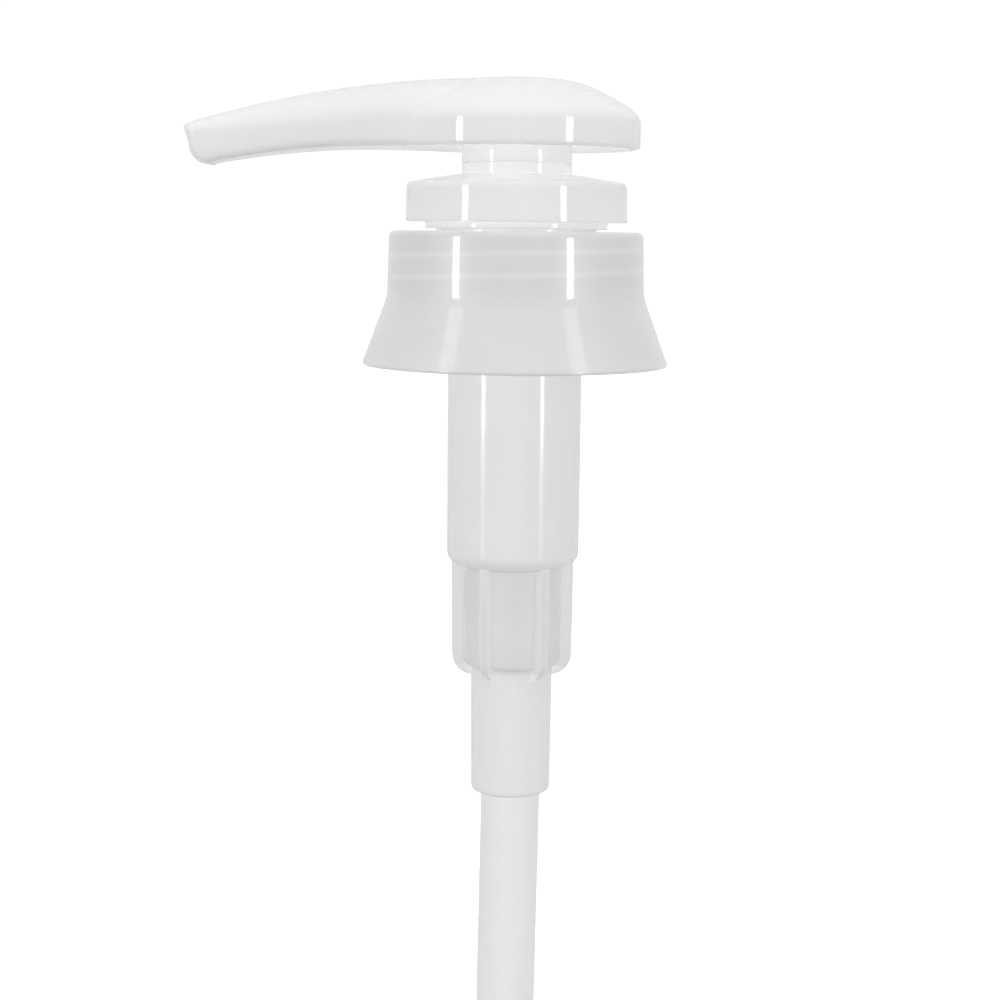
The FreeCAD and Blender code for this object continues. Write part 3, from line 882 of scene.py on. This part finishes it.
def section(x):
    """Points (y, z) round the spout: floor, corner, flank, crown, flank, corner."""
    low, high, w = floor_z(x), flank_top_z(x), half_width(x)
    c = UNDER_ROUND
    half = [((w - c) * i / 6, low) for i in range(1, 7)]
    half += [(w - c + c * math.sin(a), low + c - c * math.cos(a))
             for a in (math.radians(15 * i) for i in range(1, 7))]
    half += [(w, low + c + (high - low - c) * i / 5) for i in range(1, 5)]
    rise = crown_z(x) - high
    half += [(w * math.cos(a), high + rise * math.sin(a)) for a in (math.radians(4.5 * i) for i in range(20))]
    return [(0, low)] + half + [(0, crown_z(x))] + [(-y, z) for y, z in reversed(half)]


def end_x(y, z):
    """The end face: leaning, bowed in plan, with a round foot."""
    lean = TIP_SLOPE * (crown_z(TIP_X) - z)
    bow = TIP_BOW_R - math.sqrt(TIP_BOW_R ** 2 - y * y)
    rise = min(z - floor_z(TIP_X), TIP_FOOT_R)
    foot = TIP_FOOT_R - math.sqrt(TIP_FOOT_R ** 2 - (TIP_FOOT_R - rise) ** 2)
    return TIP_X + lean + bow + foot


def leaning_ring(x):
    """The spout's section at x, leaned towards the end face as the tip comes near."""
    share = max(0.0, (TIP_X + TIP_BLEND - x) / TIP_BLEND) ** 1.5
    if share == 0:
        return [(x, y, z) for y, z in section(x)]
    ring = []
    for i, (y, z) in enumerate(section(x)):
        at = x
        for _ in range(3):
            y, z = section(at)[i]
            at = x + share * (end_x(y, z) - TIP_X)
        ring.append((at, y, z))
    return ring


def shrunk_ring(inset, back):
    """The end face's outline drawn in by inset, and set back from the face."""
    w = half_width(TIP_X)
    middle = (crown_z(TIP_X) + floor_z(TIP_X)) / 2
    tall = crown_z(TIP_X) - middle
    ring = []
    for _, y, z in leaning_ring(TIP_X):
        y *= 1 - inset / w
        z = middle + (z - middle) * (1 - inset / tall)
        ring.append((end_x(y, z) + back, y, z))
    return ring


def loft(name, rings, finish="gloss_white"):
    """Closed skin through rings of equally many points, with a flat face on each end."""
    count = len(rings[0])
    faces = [tuple(range(count)), tuple((len(rings) - 1) * count + i for i in range(count))]
    for j in range(len(rings) - 1):
        for i in range(count):
            k = (i + 1) % count
            faces.append((j * count + i, j * count + k, (j + 1) * count + k, (j + 1) * count + i))
    thing = new_object(name, [p for ring in rings for p in ring], (), faces)
    thing.data.materials.append(FINISHES[finish])
    tidy_mesh(thing.data)
    return thing


def make_spout():
    length = ROOT_X - TIP_X - TIP_EDGE
    steps = 60
    rings = [leaning_ring(ROOT_X - length * i / steps) for i in range(steps)]
    for a in (math.radians(15 * i) for i in range(7)):
        rings.append(shrunk_ring(TIP_EDGE * (1 - math.cos(a)), TIP_EDGE * (1 - math.sin(a))))
    for inset in (1.6, 2.6, 3.4):
        rings.append(shrunk_ring(inset, 0.0))
    return loft("spout", rings)


# %% [markdown]
# ## The pump head, three: joining and coring
# The moulded head is dome and spout together, hollowed from below, with the neck skirt, the sleeve
# that goes into the collar's hub, two lock lugs and the flow channel. Each is a solid, added or cut
# in the order that keeps the flow channel's duct standing in the hollow. Where the spout leaves the
# dome a real mould has a small radius: the points near that crease are relaxed until it is round.

# %% Pump head
DOME_WALL = 1.7
CREASE_REACH = 0.9


def channel_ring(x, wall=0.0, points=48):
    """Ellipse of the flow channel, wider and taller towards the root; wall gives its duct."""
    along = (x - TIP_X) / -TIP_X
    wide = 3.4 + 2.2 * along + wall
    tall = 1.95 + 1.4 * along + wall
    turns = [2 * math.pi * i / points for i in range(points)]
    return [(x, wide * math.cos(a), 28.3 - 0.0014 * x * x + tall * math.sin(a)) for a in turns]


def relax_crease(thing):
    """Round the crease where spout and dome meet, by relaxing the points close to it."""
    work = bmesh.new()
    work.from_mesh(thing.data)

    def crease_points():
        found = set()
        for edge in work.edges:
            middle = (edge.verts[0].co + edge.verts[1].co) / 2 / MM
            upper = middle.z > RIM_Z + 1.2 and TIP_X + 20 < middle.x < -4
            if upper and edge.calc_face_angle(0) > math.radians(8):
                found.update(edge.verts)
        return found

    for reach in (3.0, 1.5):
        near = crease_points()
        long_edges = {e for v in near for f in v.link_faces for e in f.edges
                      if e.calc_length() > reach / 3 * MM}
        bmesh.ops.subdivide_edges(work, edges=list(long_edges), cuts=1)
        bmesh.ops.triangulate(work, faces=[f for f in work.faces if len(f.verts) > 4])
    crease = [v.co.copy() for v in crease_points()]
    tree = KDTree(len(crease))
    for i, co in enumerate(crease):
        tree.insert(co, i)
    tree.balance()
    close = [v for v in work.verts if tree.find(v.co)[2] < CREASE_REACH * MM and v.co.z > (RIM_Z + 1.2) * MM]
    for _ in range(5):
        bmesh.ops.smooth_vert(work, verts=close, factor=0.5,
                              use_axis_x=True, use_axis_y=True, use_axis_z=True)
    work.to_mesh(thing.data)
    work.free()
    print("crease relaxed over", len(close), "points")


def make_pump_head():
    head = join(dome("pump_head_moulding", 0, RIM_Z, 0.8), [make_spout()])
    relax_crease(head)
    duct = loft("duct", [channel_ring(x, 1.6) for x in (0.0, -7.0, -14.0, -21.0, -28.0)])
    hollow = join(dome("hollow", DOME_WALL, RIM_Z - 2), [duct], "DIFFERENCE")
    join(head, [hollow], "DIFFERENCE")
    roof = 33.3
    stack = turn("stack", [
        (0, 5.5), (8.2, 5.5, 0.5), (8.2, 23.4), (9.7, 23.4), (9.7, 18.65, 0.15),
        (11.0, 18.65, 0.08), (11.0, roof), (0, roof)], "gloss_white")
    gap = turn("skirt_gap", [(8.25, 22.9), (9.65, 22.9), (9.65, 32.6), (8.25, 32.6)], "gloss_white", 96)
    join(gap, [loft("gap_duct", [channel_ring(x, 1.6) for x in (20.0, 0.0, -20.0)])], "DIFFERENCE")
    lead = 0.55
    lug = slice_of_ring("head_lugs", [(7.8, 6.2), (8.2, 6.2), (9.1, 6.2 + lead, 0.15),
                                      (9.1, 8.8 - lead, 0.15), (8.2, 8.8), (7.8, 8.8)], 56)
    join(head, [stack, round_axis(lug, 2, 0, "gloss_white")])
    socket = turn("socket_core", [(0, 4.5), (6.0, 4.5), (6.0, 22.0), (4.6, 22.0), (4.6, 29.0), (0, 29.0)],
                  "gloss_white", 96)
    stations = [2.0 - 4.0 * i for i in range(19)]
    channel = loft("channel", [channel_ring(x) for x in stations])
    join(head, [gap, socket, channel], "DIFFERENCE")
    bar = plate("ball_stop", [Vector(p) for p in ((-0.8, 22.6), (0.8, 22.6), (0.8, 24.0), (-0.8, 24.0))], 9.6)
    return join(head, [bar])


pump_head = make_pump_head()

# %% [markdown]
# ## The pieces on the axis
# The stem, the piston and its seat, the wiper, the gasket and the two balls are all turned, so each
# is one call to the lathe. They sit inside, but they show in the poses with the head up and when
# the pump is taken apart, so they get the same care: thin lips keep a small round on their edges.

# %% Stem, seals and balls
def ball(name, radius, height):
    """A valve ball: half a circle, turned."""
    turns = [math.pi * i / 36 for i in range(37)]
    arc = [(radius * math.sin(a), height - radius * math.cos(a)) for a in turns]
    arc[0] = (0, height - radius)
    arc[-1] = (0, height + radius)
    return turn(name, arc, "ball_steel", 64)


stem = turn("stem_rod", [
    (4.4, -57.3), (6.0, -57.3, 0.2), (6.0, -46.4), (7.6, -46.4, 0.2), (7.6, -45.2, 0.4), (6.0, -45.2, 0.2),
    (6.0, 22.0, 0.5), (4.4, 22.0, 0.3), (4.4, 14.0, 0.3), (2.4, 14.0, 0.4), (2.4, 12.4, 0.2),
    (4.4, 12.4, 0.4)], "stem_white", 96)
piston = turn("piston_moulding", [
    (6.06, -57.2, 0.15), (7.7, -57.2, 0.3), (7.7, -53.2, 0.4), (10.6, -53.2, 0.4), (11.3, -57.2, 0.1),
    (12.13, -57.2, 0.2), (12.13, -56.0, 0.3), (11.68, -55.0, 0.6), (11.68, -48.7, 0.6), (12.13, -47.7, 0.3),
    (12.13, -46.5, 0.2), (11.3, -46.5, 0.1), (10.6, -50.4, 0.4), (7.7, -50.4, 0.4), (7.7, -46.5, 0.3),
    (6.06, -46.5, 0.15)], "soft_seal", 128)
piston_seat = turn("piston_seat_plug", [
    (2.6, -61.8, 0.2), (4.9, -61.8, 0.3), (5.5, -60.9, 0.2), (5.5, -58.8, 0.2), (7.9, -58.8, 0.25),
    (7.9, -57.3, 0.25), (4.39, -57.3), (4.39, -50.6, 0.2), (3.89, -50.0, 0.2), (2.6, -50.0, 0.2)],
    "stem_white", 96)
stem_seal = turn("stem_wiper", [
    (8.85, -0.9, 0.15), (8.85, 1.35, 0.15), (6.9, 1.35, 0.15), (6.9, 0.5, 0.3), (6.29, -0.4, 0.1),
    (6.04, -0.6), (6.04, -0.9)], "soft_seal", 96)
gasket = turn("gasket_ring", [(14.6, 0, 0.25), (17.6, 0, 0.25), (17.6, 1.6, 0.25), (14.6, 1.6, 0.25)],
              "foam_gasket", 128)
outlet_ball = ball("outlet_valve_ball", 3.5, 16.6)
inlet_ball = ball("inlet_valve_ball", 4.0, -81.68)

# %% [markdown]
# ## The ball cage
# The cage stands on a ledge in the valve chamber. Two turned rings are joined by four posts, which
# are one slice of ring repeated, and a cross of two bars over the ball stops it.

# %% Ball cage
CAGE_TOP = -72.4
BAR_REACH = 6.4


def make_ball_cage():
    cage = turn("cage_foot", [(7.3, -77.0, 0.2), (8.5, -77.0, 0.2), (8.5, -75.6, 0.2), (7.3, -75.6, 0.2)],
                "housing_white", 96)
    top = turn("cage_top", [(5.6, CAGE_TOP - 1.2, 0.2), (8.5, CAGE_TOP - 1.2, 0.2), (8.5, CAGE_TOP, 0.2),
                            (5.6, CAGE_TOP, 0.2)], "housing_white", 96)
    post = slice_of_ring("posts", [(7.35, -76.2), (8.45, -76.2), (8.45, CAGE_TOP - 0.5),
                                   (7.35, CAGE_TOP - 0.5)], 32)
    posts = round_axis(post, 4, 45, "housing_white")
    low, high = CAGE_TOP - 1.15, CAGE_TOP - 0.05
    bars = []
    for turned in (0, 90):
        corners = [Vector((r, z)) for r, z in (
            (-BAR_REACH, low), (BAR_REACH, low), (BAR_REACH, high), (-BAR_REACH, high))]
        bars.append(place_mesh(plate("bar", corners, 1.6, 0.2), 0, turned))
    return join(cage, [top, posts, *bars])


ball_cage = make_ball_cage()

# %% [markdown]
# ## The return spring
# The spring is the cap thread's tree again, with a round section and more turns. It is drawn closed,
# as it is while the pump is pressed down; the real one stretches when the head comes up, but here it
# is fixed in place and does not. A share from 0 to 1 is worked out for every round of the wire, the
# same for all its points, which would keep the wire from stretching into a ribbon if it bent between
# two bodies; nothing uses it.

# %% Return spring
SPRING_R = 6.6
WIRE_R = 0.6
SPRING_TURNS = 9.5
WIRE_POINTS = 14
spring_low = CAGE_TOP + WIRE_R + 0.02
spring_high = -58.8 - WIRE_R - 0.02


def make_spring():
    wire = [(WIRE_R * math.cos(a), WIRE_R * math.sin(a))
            for a in (2 * math.pi * i / WIRE_POINTS for i in range(WIRE_POINTS))]
    coil = spiral("spring_wire", wire, SPRING_R, SPRING_TURNS, spring_high - spring_low, 48, 0.0005,
                  "spring_steel")
    return place_mesh(coil, spring_low)


spring = make_spring()

# %% [markdown]
# ## The dip tube
# The tube is cut from a coil, so it never hangs quite straight: it leaves its socket, bends a
# little, and leans towards the spout's side. Geometry Nodes sweeps a circle along that line twice,
# for the outside and the bore. A slanted cut then ends both walls. The bore's faces are turned to
# look into the bore, and only then are the cut edges bridged, or the bridges would cross it.

# %% Dip tube
TUBE_R = 6.1
TUBE_BORE_R = 4.7
MID_WALL_R = (TUBE_R + TUBE_BORE_R) / 2
TUBE_TOP = -86.05
BEND_TOP = -110.0
TUBE_LEAN = math.radians(0.8)
TUBE_BEND_R = 600.0
CUT_MIDDLE = Vector((0, 0, -256.5))
CUT_WAY = Vector((math.sin(math.radians(30)), 0, math.cos(math.radians(30))))


def hose_tree():
    boxes, given, ids = start_tree("Hose", {"Outside": "NodeSocketFloat", "Bore": "NodeSocketFloat",
                                            "Steps round": "NodeSocketInt", "Finish": "NodeSocketMaterial"})
    way = boxes.add("GeometryNodeMeshToCurve", {}, {0: given})
    walls = boxes.add("GeometryNodeJoinGeometry")
    for radius in ("Outside", "Bore"):
        circle = boxes.add("GeometryNodeCurvePrimitiveCircle", {},
                           {"Resolution": given.out("Steps round"), "Radius": given.out(radius)})
        wall = boxes.add("GeometryNodeCurveToMesh", {}, {"Curve": way, "Profile Curve": circle})
        boxes.tree.links.new(wall.socket, walls.socket.node.inputs[0])
    end_tree(boxes, walls, given.out("Finish"))
    return boxes.tree, ids


def tube_line():
    """The tube's middle line: straight in its socket, one slight bend, then straight and leaning."""
    line = [Vector((0, 0, TUBE_TOP - i * (TUBE_TOP - BEND_TOP) / 6)) for i in range(7)]
    for i in range(1, 5):
        a = TUBE_LEAN * i / 4
        line.append(Vector((TUBE_BEND_R * (math.cos(a) - 1), 0, BEND_TOP - TUBE_BEND_R * math.sin(a))))
    way = Vector((-math.sin(TUBE_LEAN), 0, -math.cos(TUBE_LEAN)))
    foot = line[-1]
    return line + [foot + way * 6.0 * i for i in range(1, 25)]


def from_tube_line(point):
    """A point's distance from the tube's middle line, near enough to tell the bore from the outside."""
    middle = min(0.0, (point.z - BEND_TOP) * math.tan(TUBE_LEAN))
    return math.hypot(point.x - middle, point.y)


def make_dip_tube():
    line = tube_line()
    tree, ids = hose_tree()
    start = new_object("dip_tube_extrusion", line, [(i, i + 1) for i in range(len(line) - 1)])
    tube = grow(start, tree, ids, {"Outside": TUBE_R * MM, "Bore": TUBE_BORE_R * MM, "Steps round": 96,
                                   "Finish": FINISHES["milky_tube"]})
    work = bmesh.new()
    work.from_mesh(tube.data)
    bmesh.ops.bisect_plane(work, geom=work.verts[:] + work.edges[:] + work.faces[:], dist=0.0001 * MM,
                           plane_co=CUT_MIDDLE * MM, plane_no=-CUT_WAY, clear_outer=True)
    bore = [face for face in work.faces if from_tube_line(face.calc_center_median() / MM) < MID_WALL_R]
    bmesh.ops.reverse_faces(work, faces=bore)
    rims = [e for e in work.edges if len(e.link_faces) == 1]
    for end in ([e for e in rims if e.verts[0].co.z > BEND_TOP * MM],
                [e for e in rims if e.verts[0].co.z < BEND_TOP * MM]):
        bmesh.ops.bridge_loops(work, edges=end)
    work.to_mesh(tube.data)
    work.free()
    loose, volume = tidy_mesh(tube.data)
    print(f"dip tube: {volume:.0f} mm3, {loose} open edges")
    return tube


dip_tube = make_dip_tube()

# %% [markdown]
# ## Riding on the measured model
# Every finished piece now takes the place of its measured node. All but the spring ride on that
# node's body, so that they move when the head is pumped, the spout is swung or the cap is turned; the
# spring is fixed in place. The record knows which body a node belongs to, so the table only pairs
# pieces with nodes.

# %% Ride and replace
PIECES = {"pump_head": pump_head, "stem": stem, "outlet_ball": outlet_ball, "lock_collar": lock_collar,
          "stem_seal": stem_seal, "closure": closure, "gasket": gasket, "housing": housing, "piston": piston,
          "piston_seat": piston_seat, "spring": spring, "ball_cage": ball_cage, "inlet_ball": inlet_ball,
          "dip_tube": dip_tube}
BODY_OF = {node: body for body, nodes in frame["record"]["behaviour"]["bodies"].items() for node in nodes}

for node, piece in PIECES.items():
    low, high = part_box(node)
    points = np.array([v.co for v in piece.data.vertices])
    gap = max(np.abs(points.min(0) - low).max(), np.abs(points.max(0) - high).max()) / MM
    print(f"{node}: {len(piece.data.polygons)} faces, box within {gap:.2f} mm of the measured one")
    if node == "spring":
        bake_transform(piece)
    else:
        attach(piece, BODY_OF[node])
    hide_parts(node)

ring_of = np.arange(len(spring.data.vertices)) // WIRE_POINTS
share = ring_of / ring_of.max()

# %% [markdown]
# ## Floor and surround
# The pump hangs just over a plain white floor, inside a white surround, so that nothing competes
# with a white object. A white object on white only reads if the white behind it is brighter than
# the light that falls on it. So there are two glowing spheres, each for one kind of ray: the outer
# one is seen by the camera, the inner one only by reflections, and neither lights anything. The
# floor glows too, and gives the pump no light either.

# %% Floor and surround
FLOOR_R = 8.0
FLOOR_GAP = 0.0005
FLOOR_GLOW = 0.8
WHITE_GLOW = 1.05
GLOSS_GLOW = 0.8


def stage_piece(name, work, finish):
    """A piece of the studio: not part of the pump."""
    thing = new_object(name, [])
    work.to_mesh(thing.data)
    work.free()
    thing.data.materials.append(finish.material)
    return thing


def make_floor():
    finish = Finish("studio_floor", **{"Roughness": 0.7, "Emission Strength": FLOOR_GLOW,
                                       "Emission Color": (1, 1, 1, 1), "Specular IOR Level": 0.0})
    finish.feed("Base Color", finish.tint(finish.noise(0.4), (0.9, 0.9, 0.9), (0.93, 0.93, 0.93)))
    work = bmesh.new()
    bmesh.ops.create_circle(work, cap_ends=True, segments=96, radius=FLOOR_R)
    work.transform(Matrix.Translation(UP * (cad_box[0][2] - FLOOR_GAP)))
    floor = stage_piece("studio_floor", work, finish)
    floor.visible_diffuse = False
    floor.visible_glossy = False
    return floor


def make_surround(name, radius, glow):
    """A glowing sphere round everything, which lights nothing until a kind of ray may see it."""
    finish = Finish(name, **{"Base Color": (0, 0, 0, 1), "Specular IOR Level": 0.0,
                             "Emission Strength": glow, "Emission Color": (1, 1, 1, 1)})
    work = bmesh.new()
    bmesh.ops.create_uvsphere(work, u_segments=48, v_segments=24, radius=radius)
    bmesh.ops.reverse_faces(work, faces=work.faces)
    surround = stage_piece(name, work, finish)
    surround.visible_diffuse = False
    surround.visible_transmission = False
    surround.visible_shadow = False
    return surround


floor = make_floor()
white_surround = make_surround("white_surround", 9.0, WHITE_GLOW)
white_surround.visible_glossy = False
gloss_surround = make_surround("gloss_surround", 8.5, GLOSS_GLOW)
gloss_surround.visible_camera = False

# %% [markdown]
# ## Light
# Soft light comes from everywhere, and more of it from above and below than from the sides: a world
# whose strength follows the height of the direction. Then each area light has one job. A tall narrow
# strip at the front left and one at the front right only make reflections: they draw a bright line
# down every turned wall, and that line is what tells gloss from satin. Each strip has a weak tail
# below it and a soft glow above it, for the faint ends of the line. Six fills do the opposite: they
# light the plastic evenly, without shadows and without being reflected. None shows to the camera.

# %% World light
LIGHT_LEVEL = 0.20
LIGHT_ABOVE = 0.42
LIGHT_BELOW = 0.20


def make_world():
    world = bpy.data.worlds.new("soft studio")
    world.use_nodes = True
    boxes = Boxes(world.node_tree)
    boxes.tree.nodes.clear()
    way = boxes.add("ShaderNodeTexCoord").out("Generated")
    height = boxes.add("ShaderNodeSeparateXYZ", {}, {0: way}).out("Z")
    above = height.maths("MAXIMUM", height, 0.0)
    below = height.maths("MAXIMUM", 0 - height, 0.0)
    level = LIGHT_LEVEL + above * LIGHT_ABOVE + below * LIGHT_BELOW
    light = boxes.add("ShaderNodeBackground", {}, {"Color": (1, 1, 1, 1), "Strength": level})
    end = boxes.tree.nodes.new("ShaderNodeOutputWorld")
    boxes.tree.links.new(light.socket, end.inputs["Surface"])
    bpy.context.scene.world = world


make_world()

# %% Strip and fill lights
STRIP_WIDE = 0.11
STRIP_TALL = 0.40
STRIP_FAR = 1.0
STRIP_LIFT = 3.0
STRIP_WATTS = 1.45
TAIL_TALL = 0.16
TAIL_LIFT = -13
TAIL_WATTS = 0.1
GLOW_WIDE = 0.2
GLOW_TALL = 0.16
GLOW_LIFT = 33
GLOW_WATTS = 0.18
FILL_SIZE = 1.0
FILL_FAR = 1.5
FILL_WATTS = 8.4


def aim_light(name, width, height, azimuth, lift, distance, watts):
    """Area light seen from the pump at this azimuth (0 is the camera's side) and height angle."""
    data = bpy.data.lights.new(name, "AREA")
    data.shape = "RECTANGLE"
    data.size = width
    data.size_y = height
    data.energy = watts
    light = bpy.data.objects.new(name, data)
    bpy.context.scene.collection.objects.link(light)
    a, b = math.radians(azimuth), math.radians(lift)
    way = Vector((math.sin(a) * math.cos(b), -math.cos(a) * math.cos(b), math.sin(b)))
    aim = way.to_track_quat("Z", "Y").to_matrix().to_4x4()
    light.matrix_world = Matrix.Translation(way * distance) @ aim
    light.visible_camera = False
    return light


for side, azimuth, soft_azimuth in (("left", -54, -57), ("right", 48, 52)):
    strip = aim_light(side + "_strip", STRIP_WIDE, STRIP_TALL, azimuth, STRIP_LIFT, STRIP_FAR, STRIP_WATTS)
    tail = aim_light(side + "_tail", STRIP_WIDE, TAIL_TALL, azimuth, TAIL_LIFT, STRIP_FAR, TAIL_WATTS)
    glow = aim_light(side + "_glow", GLOW_WIDE, GLOW_TALL, soft_azimuth, GLOW_LIFT, STRIP_FAR, GLOW_WATTS)
    for light in (strip, tail, glow):
        light.visible_diffuse = False
for azimuth, lift, share, name in (
        (-60, 8, 1.0, "left_fill"), (60, 8, 1.0, "right_fill"),
        (-160, 8, 0.55, "left_back_fill"), (160, 8, 0.55, "right_back_fill"),
        (0, -50, 0.45, "low_fill"), (0, 75, 0.8, "high_fill")):
    fill = aim_light(name, FILL_SIZE, FILL_SIZE, azimuth, lift, FILL_FAR, FILL_WATTS * share)
    fill.visible_glossy = False
    fill.data.use_shadow = False
